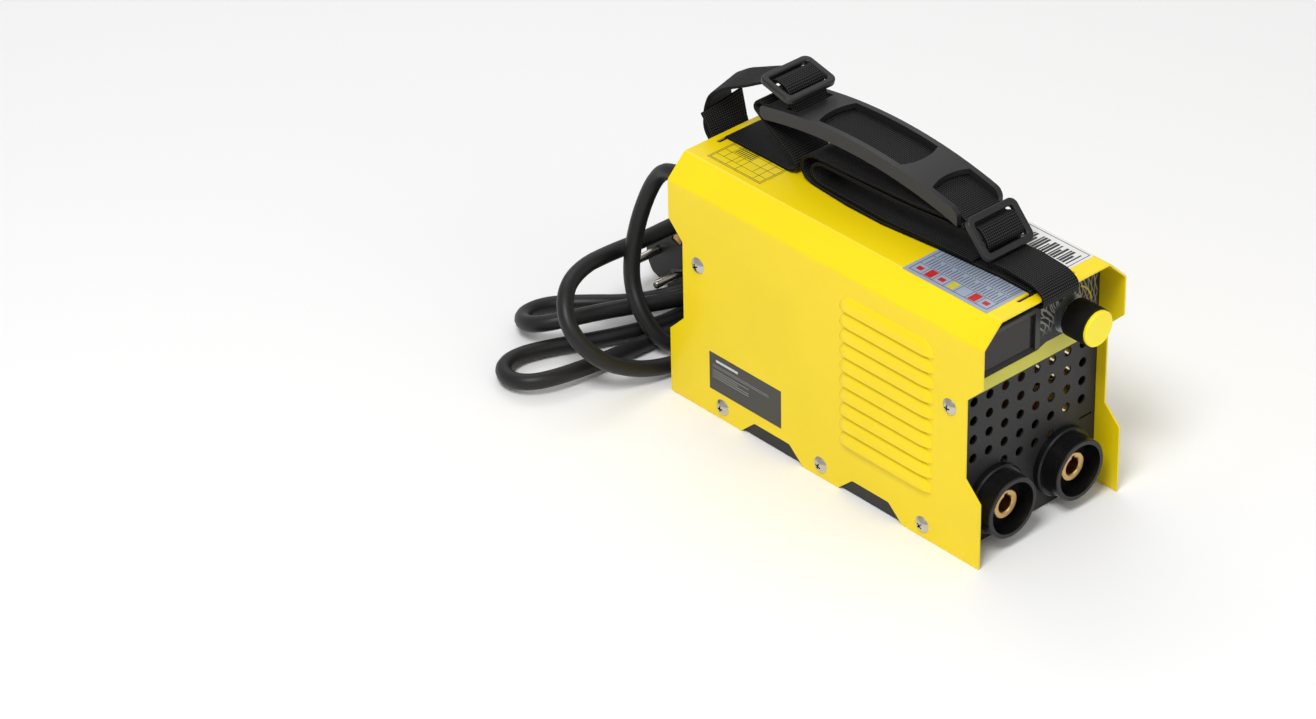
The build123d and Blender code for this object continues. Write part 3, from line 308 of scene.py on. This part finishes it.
def make_materials():
    return {
        "yellow": powder_coat("yellow_powder_coat", (0.88, 0.66, 0.004)),
        "charcoal": surface("charcoal_powder_coat", (0.017, 0.017, 0.018), 0.5, vary=0.08, grain=1500,
                            bump=0.25, Specular_IOR_Level=0.4),
        # Nickel with painted shade in its recesses, such as the crosses of the screw heads.
        "nickel": metal_with_painted_recess_shade("nickel", (0.56, 0.53, 0.47), 0.26),
        "zinc": surface("zinc", (0.52, 0.53, 0.54), 0.33, 1.0, vary=0.08, grain=900, bump=0.1),
        "silver_film": surface("silver_film", (0.26, 0.29, 0.30), 0.3, 0.8, vary=0.3, patch=160),
        "black_film": surface("black_film", (0.030, 0.029, 0.027), 0.35, vary=0.08, bump=0.05),
        "dark_print": ink("dark_print", (0.012, 0.012, 0.012)),
        "white_print": ink("white_print", (0.60, 0.60, 0.58)),
        "grey_print": ink("grey_print", (0.22, 0.22, 0.22)),
        "frame_print": ink("frame_print", (0.05, 0.055, 0.065)),
        "red_print": ink("red_print", (0.48, 0.012, 0.010)),
        "yellow_print": ink("yellow_print", (0.55, 0.48, 0.03)),
        "blue_grey_film": surface("blue_grey_film", (0.32, 0.37, 0.47), 0.3, vary=0.05, bump=0.04),
        "white_film": surface("white_film", (0.72, 0.72, 0.70), 0.32, vary=0.04, bump=0.04),
        "yellow_film": surface("yellow_film", (0.58, 0.54, 0.05), 0.35, vary=0.05, bump=0.04),
        "yellow_label": surface("yellow_label", (0.86, 0.66, 0.010), 0.32, vary=0.03, bump=0.04),
        "field": decorated_field("decorated_field"),
        "black_plastic": surface("black_plastic", (0.010, 0.010, 0.010), 0.42, vary=0.15, grain=1300,
                                 bump=0.2, Specular_IOR_Level=0.35),
        "gloss_black": surface("gloss_black", (0.006, 0.006, 0.006), 0.24, vary=0.1, grain=800, bump=0.05,
                               rough_vary=0.05, Specular_IOR_Level=0.35),
        "bezel": surface("bezel_plastic", (0.020, 0.020, 0.021), 0.4, vary=0.1, grain=1500, bump=0.15),
        "fan_plastic": surface("fan_plastic", (0.075, 0.075, 0.078), 0.3, grain=1200, bump=0.1),
        "knob": surface("knob_rubber", (0.005, 0.005, 0.005), 0.7, vary=0.1, grain=1800, bump=0.3,
                        Specular_IOR_Level=0.2),
        "yellow_plastic": surface("yellow_plastic", (0.98, 0.82, 0.015), 0.36, vary=0.02, grain=1200,
                                  bump=0.05),
        "red_plastic": surface("red_plastic", (0.45, 0.02, 0.012), 0.3, vary=0.05, grain=1200, bump=0.05),
        "brass": surface("brass", (0.62, 0.40, 0.16), 0.28, 1.0, vary=0.08, grain=500, bump=0.08),
        "copper": surface("copper", (0.60, 0.25, 0.12), 0.3, 1.0, vary=0.1, grain=600, bump=0.08),
        "board": surface("green_board", (0.02, 0.10, 0.05), 0.35, vary=0.12, grain=600, bump=0.1),
        "aluminium": surface("black_anodised", (0.030, 0.030, 0.032), 0.4, 0.5, grain=500, bump=0.1),
        "sleeve": surface("capacitor_sleeve", (0.02, 0.02, 0.05), 0.3, vary=0.1),
        "ferrite": surface("ferrite", (0.03, 0.03, 0.033), 0.5, vary=0.15, grain=900, bump=0.25),
        # The winding tape's colour is darkened to a deep brown: painted shade for the inside of the case.
        "tape": surface("winding_tape", (0.10, 0.045, 0.012), 0.3, vary=0.15, grain=200, bump=0.1),
        "grip": surface("grip_plastic", (0.017, 0.017, 0.018), 0.36, vary=0.1, grain=1200, bump=0.15,
                        rough_vary=0.05, Specular_IOR_Level=0.35),
        "rubber": surface("black_rubber", (0.010, 0.010, 0.010), 0.45, vary=0.15, patch=60, grain=1400,
                          bump=0.25, Specular_IOR_Level=0.35),
        "webbing": webbing_material("black_webbing"),
        "lens": display_lens("display_lens"),
    }


NODE_MATERIALS = {
    "yellow": ["case_cover"],
    "charcoal": ["chassis"],
    "nickel": ["cover_screws", "fan_screws", "board_screws", "potentiometer_nut", "potentiometer_shaft",
               "earth_nuts", "plug_pins"],
    "zinc": ["socket_nuts", "fan_guard"],
    "silver_film": ["dial_plate"],
    "black_film": ["side_label"],
    "blue_grey_film": ["front_left_label"],
    "white_film": ["front_right_label"],
    "yellow_label": ["back_label"],
    "yellow_film": ["overlay_stripe"],
    "field": ["overlay_field"],
    "bezel": ["display_bezel"],
    "lens": ["display_window"],
    "knob": ["knob_body"],
    "yellow_plastic": ["knob_cap"],
    "red_plastic": ["switch_rocker"],
    "brass": ["socket_contact_negative", "socket_contact_positive", "board_standoffs", "earth_stud",
              "plug_earth_clips"],
    "copper": ["busbars", "choke_winding"],
    "gloss_black": ["socket_collar_negative", "socket_collar_positive", "switch_housing", "display_module",
                    "start_relay", "cable_tie"],
    "fan_plastic": ["fan_rotor"],
    "black_plastic": ["fan_frame", "cable_gland", "gland_nut", "potentiometer_body",
                      "bridge_rectifier", "power_transistors", "output_diodes", "transformer_feet"],
    "board": ["main_board", "control_board"],
    "aluminium": ["heatsink_left", "heatsink_right"],
    "sleeve": ["bus_capacitors"],
    "ferrite": ["transformer_core", "choke_core"],
    "tape": ["transformer_winding"],
    "grip": ["strap_pad", "strap_buckle_back", "strap_buckle_front"],
    "rubber": ["plug_body", "strain_relief"],
}


def paint_nodes(materials):
    for key, names in NODE_MATERIALS.items():
        for name in names:
            node = NODES[name]
            node.data.materials.clear()
            node.data.materials.append(materials[key])


def new_mesh(name, vertices, faces, materials):
    mesh = bpy.data.meshes.new(name)
    mesh.from_pydata(vertices, [], faces)
    for material in materials:
        mesh.materials.append(material)
    return mesh


def add_piece(name, data):
    """A new object on the root body."""
    piece = bpy.data.objects.new(name, data)
    bpy.context.scene.collection.objects.link(piece)
    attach(piece, "root")
    return piece


# ---- mains lead ----

# Control points in mm, from the cable gland to the plug.
CORD_POINTS = [
    (-17, 127, 106),
    (-17, 144, 106),
    (-14, 160, 97),
    (-19, 167, 77),
    (-27, 166.5, 57),
    (-33, 162.5, 38),
    (-37, 150, 23),
    (-31, 137, 6.5),
    (-10, 130, 5),
    (20, 129, 5),
    (44, 128.5, 8),
    (62, 130, 18),
    (78, 140, 34),
    (72, 158, 47),
    (46, 171, 51),
    (14, 177.5, 46.5),
    (-12, 177.5, 46.5),
    (-36, 175.5, 50),
    (-62, 168, 56),
    (-83, 158, 55),
    (-93, 145, 42),
    (-85, 132, 25),
    (-63, 126.5, 11),
    (-36, 122.5, 5),
    (10, 119, 5),
    (58, 118, 5),
    (104, 119, 5),
    (134, 124, 5),
    (153, 142, 5),
    (155, 166, 5),
    (138, 184, 5),
    (112, 185, 5),
    (84, 174, 5),
    (56, 161, 5),
    (22, 156.5, 6.6),
    (-15, 156.5, 5),
    (-47, 168, 5),
    (-72, 181, 5),
    (-93, 188, 5),
    (-107, 183, 5.5),
    (-112, 170, 6.5),
    (-106, 158, 8),
    (-89, 152.5, 8),
    (-63, 151, 6),
    (-36, 150, 5),
    (-4, 147, 5),
    (28, 146.5, 6),
    (60, 140, 10),
    (92, 128, 15),
    (118, 127, 17),
    (137, 142, 17),
    (140, 166, 17),
    (122, 183, 16),
    (94, 181, 16),
    (56, 161, 15.5),
    (24, 158.5, 16.2),
    (3, 163, 14),
    (-15, 182, 7),
    (-32, 203, 5),
    (-47, 215, 5),
    (-62, 216, 6),
    (-73, 206, 9),
    (-74, 192, 14),
    (-61, 180, 18),
    (-38, 171, 18),
    (-8, 155.5, 17.5),
    (26, 147.5, 16),
    (58, 147, 20),
    (98, 138, 26),
    (132, 134, 28),
    (156, 147, 27),
    (164, 170, 24),
    (154, 192, 19),
    (132, 202, 16),
    (111, 190, 18.5),
    (92, 184, 20),
    (74, 184, 20),
]
# metres
CORD_DIAMETER = 0.009


def make_cord(materials):
    curve = bpy.data.curves.new("mains_lead", "CURVE")
    curve.dimensions = "3D"
    curve.bevel_depth = CORD_DIAMETER / 2
    curve.bevel_resolution = 5
    curve.resolution_u = 10
    curve.use_fill_caps = True
    spline = curve.splines.new("NURBS")
    spline.points.add(len(CORD_POINTS) - 1)
    for point, (x, y, z) in zip(spline.points, CORD_POINTS):
        point.co = (x * MM, y * MM, z * MM, 1)
    spline.order_u = 3
    spline.use_endpoint_u = True
    curve.materials.append(materials["rubber"])
    cord = add_piece("mains_lead", curve)
    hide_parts("mains_cord")


# ---- webbing ----

# Lengths are in mm.
WEB_WIDE = 25.0
WEB_THICK = 1.6
RIB_PITCH = 1.3
RIB_DEEP = 0.13
ROW_STEP = RIB_PITCH / 2
# The flat faces stop FLAT_INSET short of the edges. An edge is rounded through two more points,
# EDGE_INSET in and EDGE_HIGH above or below the middle.
WEB_COLUMNS = 14
FLAT_INSET = 0.5
EDGE_INSET = 0.1
EDGE_HIGH = 0.6 * WEB_THICK / 2
# A slanted end leans by TAIL_SLANT over its last TAIL_LENGTH.
TAIL_SLANT = 8.0
TAIL_LENGTH = 10.0
# A corner that turns by less than STRAIGHT radians isn't rounded, and a rounded one takes up at
# most CORNER_SHARE of its shorter side.
ARC_STEP = 0.2
STRAIGHT = 0.01
CORNER_SHARE = 0.45

# The webbing's way through a buckle, as (y, z) from the buckle's middle, back to front.
BUCKLE_WAY = [(11, -3.9), (7, -3.6), (5, 2.5), (-5, 2.5), (-7, -3.6), (-11, -3.9)]


def through_buckle(y, z, tilt):
    """Rows through a buckle with its middle at (y, z), tilted by that many degrees, to 0.1 mm."""
    turned = Matrix.Rotation(math.radians(tilt), 2)
    places = [Vector((y, z)) + turned @ Vector(way) for way in BUCKLE_WAY]
    return [(round(place.x, 1), round(place.y, 1), 9, 0, 0) for place in places]


# Each webbing's middle line, end to end: (y, z, greatest radius, x, lean) in mm. lean is how much
# further back its right edge lies than its left.
LONG_WEBBING = [
    (108, 132.7, 0, -2, 0),
    (119, 132.7, 9, -2, 0),
    (126, 139, 12, -2, 4),
    (127.3, 150, 12, -1.5, 7),
    (124.5, 159, 14, -1, 7),
    (113, 167, 40, -0.5, 6),
    (96, 175, 40, 0, 4),
    *through_buckle(68.5, 184.2, 13)[:-1],
    (58.5, 171.2, 9, 0, 0),
    (26, 174.3, 300, 0, 0),
    (-10, 173.4, 300, 0, 0),
    (-50, 167.0, 300, 0, 0),
    *through_buckle(-73.0, 158.0, 47),
    (-90, 147.2, 20, 0.8, 0),
    (-108, 145.2, 20, 1.5, 0),
    (-114, 141.5, 9, 1.5, 0),
    (-113.6, 135.4, 9, 1.5, 0),
    (-105.2, 134.8, 9, 1.5, 0),
    (-105.2, 141.1, 1.8, 1.5, 0),
    (-85, 141.1, 9, 1.5, 0),
    (-43, 141.1, 9, -1.5, 0),
    (-9, 141.1, 9, -5, 0),
    (16, 141.1, 9, -5, 0),
    (42.3, 141.1, 9, -3, 0),
    (50, 144, 9, -3, 0),
    (50, 153.5, 9, -3, 0),
    (42.3, 157, 9, -3, 0),
    (-30, 160.4, 99, -3.5, 0),
    (-60, 161.6, 9, -1, 0),
    (-62.6, 158.4, 2, -1, 0),
    (-56, 157.6, 9, -1, 0),
    (-20, 156.6, 99, -3.5, 0),
    (36, 154.7, 9, -3, 0),
    (42.4, 152.2, 9, -3, 0),
    (43.5, 146.2, 9, -3, 0),
    (38, 143.3, 9, -3, 0),
    (-10, 143.3, 9, -4.5, 0),
    (-68, 143.3, 0, -1, 0),
]
SHORT_WEBBING = [
    (50, 170.1, 0, 0, 0),
    (77.5, 167.6, 4, 0, 0),
    (84.5, 171, 9, -0.3, 0),
    (88.5, 166, 9, -0.6, 0),
    (79.5, 161.2, 9, -1.5, 0),
    (59, 150, 9, -2.5, 0),
    (53.6, 145.6, 9, -2.5, 0),
    (58.5, 141.1, 9, -2.5, 0),
    (107.2, 141.1, 1.8, -2.5, 0),
    (107.2, 135, 4, -2.5, 0),
    (114.5, 134.6, 9, -3, 0),
    (117.5, 141, 12, -3.5, -2),
    (122, 152, 0, -3.5, -7),
]


def corner_points(before, here, after, limit):
    """Points of the arc that rounds the corner at here, with at most the given radius."""
    first = Vector((here.y - before.y, here.z - before.z))
    second = Vector((after.y - here.y, after.z - here.z))
    turn = first.angle(second)
    if turn < STRAIGHT:
        return [here]
    half_tan = math.tan(turn / 2)
    radius = min(limit, CORNER_SHARE * min(first.length, second.length) / half_tan)
    cut = radius * half_tan
    start = here.lerp(before, cut / first.length)
    end = here.lerp(after, cut / second.length)
    steps = max(3, round(radius * turn / ARC_STEP))
    weight = math.cos(turn / 2)
    points = []
    for n in range(steps + 1):
        t = n / steps
        shares = ((1 - t) ** 2, 2 * t * (1 - t) * weight, t * t)
        points.append((start * shares[0] + here * shares[1] + end * shares[2]) / sum(shares))
    return points


def rounded_line(points, limits):
    """The line through the points with every corner rounded."""
    line = [points[0]]
    for before, here, after, limit in zip(points, points[1:], points[2:], limits[1:]):
        line += corner_points(before, here, after, limit)
    return line + [points[-1]]


def even_samples(line, step):
    """Points at even distances along the line."""
    samples = [line[0]]
    travelled = 0.0
    for start, end in zip(line, line[1:]):
        length = (end.xyz - start.xyz).length
        while travelled + length >= step * len(samples):
            samples.append(start.lerp(end, (step * len(samples) - travelled) / length))
        travelled += length
    return samples


def direction_at(samples, n):
    ahead = samples[min(n + 1, len(samples) - 1)].xyz - samples[max(n - 1, 0)].xyz
    ahead.x = 0
    return ahead.normalized()


def band_section():
    """Points round the webbing's cross-section: (across, up), with rounded edges."""
    half = WEB_WIDE / 2
    flat = half - FLAT_INSET
    top = [(-flat + 2 * flat * n / WEB_COLUMNS, WEB_THICK / 2) for n in range(WEB_COLUMNS + 1)]
    edge = [(half - EDGE_INSET, EDGE_HIGH), (half, 0), (half - EDGE_INSET, -EDGE_HIGH)]
    section = top + edge
    return section + [(-across, -up) for across, up in section]


def band_vertices(samples, slant):
    """The section at each sample, with every other one thinner for the ribs: (vertices, uvs)."""
    vertices = []
    uvs = []
    for n, sample in enumerate(samples):
        ahead = direction_at(samples, n)
        up = Vector((0, -ahead.z, ahead.y))
        rib = RIB_DEEP if n % 2 else 0.0
        to_end = (len(samples) - 1 - n) * ROW_STEP
        run = slant * max(0.0, 1 - to_end / TAIL_LENGTH)
        for across, height in band_section():
            if abs(height) > EDGE_HIGH:
                height -= math.copysign(rib, height)
            share = across / WEB_WIDE
            offset = Vector((across, sample.w * share, 0)) + ahead * (run * share)
            vertices.append((sample.xyz + offset + up * height) * MM)
            uvs.append((across * MM, n * ROW_STEP * MM))
    return vertices, uvs


def band_faces(rings, count):
    """Quads between neighbouring rings of count points each, and a face over each end."""
    faces = []
    for n in range(rings - 1):
        for k in range(count):
            k2 = (k + 1) % count
            faces.append((n * count + k, n * count + k2, (n + 1) * count + k2, (n + 1) * count + k))
    faces.append(tuple(range(count))[::-1])
    faces.append(tuple((rings - 1) * count + k for k in range(count)))
    return faces


def make_webbing(materials, name, rows, slant):
    """A ribbed strip along the rows; slant is how far its last end's right corner runs past its left."""
    points = [Vector((x, y, z, lean)) for y, z, limit, x, lean in rows]
    limits = [limit for y, z, limit, x, lean in rows]
    samples = even_samples(rounded_line(points, limits), ROW_STEP)
    vertices, uvs = band_vertices(samples, slant)
    faces = band_faces(len(samples), len(band_section()))
    mesh = new_mesh(name, vertices, faces, [materials["webbing"]])
    layer = mesh.uv_layers.new(name="UVMap")
    for loop in mesh.loops:
        layer.data[loop.index].uv = uvs[loop.vertex_index]
    mesh.polygons.foreach_set("use_smooth", [True] * len(mesh.polygons))
    mesh.validate()
    strip = add_piece(name, mesh)
    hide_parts("strap_webbing")


# ---- printed labels ----

INK_THICK = 0.05
# A box's faces by its corners, four below and then four above.
BOX_FACES = ((3, 2, 1, 0), (4, 5, 6, 7), (0, 1, 5, 4), (1, 2, 6, 5), (2, 3, 7, 6), (3, 0, 4, 7))


def printed(name, cells, inks, place):
    """Thin printed shapes: cells are (x0, x1, y0, y1, ink number) in mm on the plane that place sets."""
    vertices = []
    faces = []
    numbers = []
    for x0, x1, y0, y1, ink_number in cells:
        base = len(vertices)
        for z in (0, INK_THICK):
            for x, y in ((x0, y0), (x1, y0), (x1, y1), (x0, y1)):
                vertices.append(place @ Vector((x * MM, y * MM, z * MM)))
        for quad in BOX_FACES:
            faces.append(tuple(base + k for k in quad))
            numbers.append(ink_number)
    mesh = new_mesh(name, vertices, faces, inks)
    mesh.polygons.foreach_set("material_index", numbers)
    add_piece(name, mesh)


def outline(x0, x1, y0, y1, line, ink_number):
    """A rectangle's outline as four thin cells."""
    return [
        (x0, x1, y0, y0 + line, ink_number),
        (x0, x1, y1 - line, y1, ink_number),
        (x0, x0 + line, y0 + line, y1 - line, ink_number),
        (x1 - line, x1, y0 + line, y1 - line, ink_number),
    ]


def bars(x0, x1, y0, y1, rows, fill, ink_number):
    """Even bars that stand for lines of small print; every third one is shorter."""
    cells = []
    pitch = (y1 - y0) / rows
    for n in range(rows):
        end = x1 - (x1 - x0) * (0.3 if n % 3 == 2 else 0.0)
        cells.append((x0, end, y0 + n * pitch, y0 + (n + fill) * pitch, ink_number))
    return cells


def label_plane(node, facing):
    """Where a label's print goes, for a label that faces up ("top") or to the left ("side").

    It gives the matrix that takes (across, along, out) to the label's outer face, from its lowest
    corner, and the label's width and length in mm.
    """
    low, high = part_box(node)
    size = (high - low) / MM
    if facing == "top":
        return Matrix.Translation((low.x, low.y, high.z)), size.x, size.y
    upright = Matrix(((0, 0, -1, 0), (-1, 0, 0, 0), (0, 1, 0, 0), (0, 0, 0, 1)))
    return Matrix.Translation((low.x, high.y, low.z)) @ upright, size.y, size.z


def print_side_label(materials):
    """A bold title bar over two blocks of small print."""
    place, wide, tall = label_plane("side_label", "side")
    white, grey = 0, 1
    margin = 2.5
    cells = bars(5, wide * 0.40, tall - 4.6, tall - 3.2, 1, 1.0, white)
    cells += bars(margin, wide - 9, tall - 8.0, tall - 6.0, 2, 0.3, grey)
    cells += bars(margin, wide * 0.55, tall - 14.5, tall - 9.0, 4, 0.32, grey)
    inks = [materials["white_print"], materials["grey_print"]]
    printed("side_label_print", cells, inks, place)


FRAME_INK, RED_INK, YELLOW_INK = 0, 1, 2
# x0, x1, share of its row left free on either side, ink number
SMALL_MARK = (4.6, 7.6, 0.25, RED_INK)
LARGE_MARK = (3.0, 9.4, 0.18, RED_INK)
YELLOW_MARK = (3.0, 9.4, 0.20, YELLOW_INK)
MARKS = (SMALL_MARK, LARGE_MARK, None, YELLOW_MARK, SMALL_MARK, LARGE_MARK, SMALL_MARK)


def mark_rows(x0, x1, y0, y1, rule):
    """The marks in even rows from y0 to y1, with rules from x0 to x1 between the rows."""
    cells = []
    pitch = (y1 - y0) / len(MARKS)
    for n, mark in enumerate(MARKS):
        y = y0 + n * pitch
        if n:
            cells.append((x0, x1, y - rule / 2, y + rule / 2, FRAME_INK))
        if mark:
            left, right, free, ink_number = mark
            cells.append((left, right, y + pitch * free, y + pitch * (1 - free), ink_number))
    return cells


def print_front_left_label(materials):
    """A framed table: a column of coloured marks along its left edge and two columns of small print."""
    place, wide, long = label_plane("front_left_label", "top")
    margin, frame_line, rule = 2.2, 0.4, 0.3
    inner = margin + frame_line
    columns = (9.8, 18.6)
    cells = outline(margin, wide - 2, margin, long - margin, frame_line, FRAME_INK)
    for x in columns:
        cells.append((x, x + rule, inner, long - inner, FRAME_INK))
    cells += mark_rows(inner, columns[0], inner, long - inner, rule)
    lines, line_thick = 26, 0.55
    for n in range(lines):
        y = 3.4 + n * (long - 7) / lines
        cells.append((10.8, 17.8 - (2.2 if n % 4 == 2 else 0), y, y + line_thick, FRAME_INK))
        cells.append((19.6, wide - 3.0 - (3.0 if n % 5 == 3 else 0), y, y + line_thick, FRAME_INK))
    inks = [materials[k] for k in ("frame_print", "red_print", "yellow_print")]
    printed("front_left_label_print", cells, inks, place)


def print_front_right_label(materials):
    """A frame round lines of small print, every third of them thinner and every fourth shorter."""
    place, wide, long = label_plane("front_right_label", "top")
    dark = 0
    margin, frame_line = 1.6, 0.4
    start, lines = 4, 22
    cells = outline(margin, wide - margin, margin, long - margin, frame_line, dark)
    pitch = (long - 2 * start) / lines
    for n in range(lines):
        end = wide - 5 - (3.2 if n % 4 == 1 else 0.0)
        fill = 0.75 if n % 3 else 0.45
        cells.append((6.0, end, start + n * pitch, start + (n + fill) * pitch, dark))
    printed("front_right_label_print", cells, [materials["dark_print"]], place)


def print_back_label(materials):
    """A table of thin black lines in a double frame."""
    place, wide, long = label_plane("back_label", "top")
    dark = 0
    frame_line, rule, inner = 0.3, 0.25, 2
    cells = []
    for margin in (0.6, 1.6):
        cells += outline(margin, wide - margin, margin, long - margin, frame_line, dark)
    for x in (6, 12, 18, 23, 28):
        cells.append((x, x + rule, inner, long - inner, dark))
    for n, y in enumerate((7, 12, 20, 24, 27, 33)):
        cells.append((6.5 if n % 2 else inner, wide - inner, y, y + rule, dark))
    cells += bars(13, 22, 21, 33, 8, 0.4, dark)
    printed("back_label_print", cells, [materials["dark_print"]], place)


def print_field_arc(materials):
    """A thin yellow arc on the film beside the knob."""
    centre_x, centre_z = 29.5, 109.0
    radii = (12.9, 13.8)
    start, sweep, steps = 6, 60, 16
    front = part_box("overlay_field")[0].y / MM
    vertices = []
    for n in range(steps + 1):
        angle = math.radians(start + sweep * n / steps)
        for y in (front, front - INK_THICK):
            for radius in radii:
                place = (centre_x + radius * math.cos(angle), y, centre_z + radius * math.sin(angle))
                vertices.append(Vector(place) * MM)
    faces = []
    for n in range(steps):
        for a, b in ((0, 1), (1, 3), (3, 2), (2, 0)):
            faces.append((4 * n + a, 4 * n + b, 4 * n + 4 + b, 4 * n + 4 + a))
    last = 4 * steps
    faces += [(0, 2, 3, 1), (last, last + 1, last + 3, last + 2)]
    mesh = new_mesh("field_arc", vertices, faces, [materials["yellow_print"]])
    add_piece("field_arc", mesh)


make_camera()
materials = make_materials()
make_cord(materials)
make_webbing(materials, "long_webbing", LONG_WEBBING, slant=0.0)
make_webbing(materials, "short_webbing", SHORT_WEBBING, slant=TAIL_SLANT)
paint_nodes(materials)
print_side_label(materials)
print_front_left_label(materials)
print_front_right_label(materials)
print_back_label(materials)
print_field_arc(materials)
make_studio()
make_floor()
